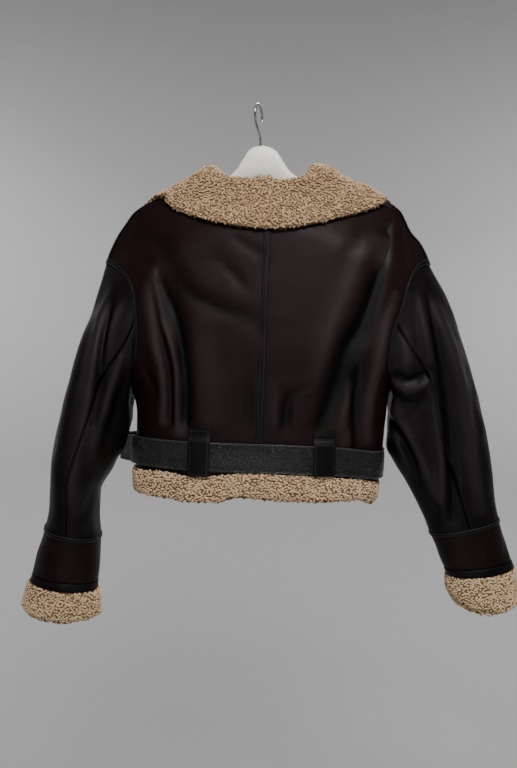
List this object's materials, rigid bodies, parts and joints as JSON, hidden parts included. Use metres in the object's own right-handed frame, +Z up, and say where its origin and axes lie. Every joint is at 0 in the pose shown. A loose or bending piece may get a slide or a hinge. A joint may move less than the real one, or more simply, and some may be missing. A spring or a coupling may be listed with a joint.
{
  "type": "short jacket on a hanger",
  "caption": "Short leather-look jacket with a wide curly pile collar, pile hem and turned-back pile cuffs, belted at the waist, on a clothes hanger.",
  "frame": {"origin": "inside top of the hanger's hook, where it rests on a rail or peg", "axes": "+Z up, +Y the way the jacket's back faces, +X the wearer's left; the front faces -Y"},
  "size_m": [0.8725, 0.1834, 0.8802],
  "materials": {
    "leather": "soft sheen, fine grain, dark burgundy brown",
    "trim": "pebbled black, semi-gloss",
    "pile": "curly beige pile",
    "hanger": "off-white, satin",
    "steel": "bright wire"
  },
  "bodies": {
    "root": {"back_left": "leather", "back_right": "leather", "front_left": "leather", "front_right": "leather", "sleeve_left_top": "leather", "sleeve_left_under": "leather", "sleeve_right_top": "leather", "sleeve_right_under": "leather", "cuff_left_panel": "leather", "cuff_right_panel": "leather", "centre_back_tape": "trim", "armhole_tape_left": "trim", "armhole_tape_right": "trim", "shoulder_tape_left": "trim", "shoulder_tape_right": "trim", "cuff_left_tape": "trim", "cuff_right_tape": "trim", "cuff_left_binding": "trim", "cuff_right_binding": "trim", "belt_strap": "trim", "belt_loop_back_left": "trim", "belt_loop_back_right": "trim", "belt_loop_front_left": "trim", "belt_loop_front_right": "trim", "collar": "pile", "hem_fur": "pile", "cuff_left_fur": "pile", "cuff_right_fur": "pile", "hanger_body": "hanger", "hanger_hook": "steel", "buckle_frame": "steel"}
  },
  "joints": []
}
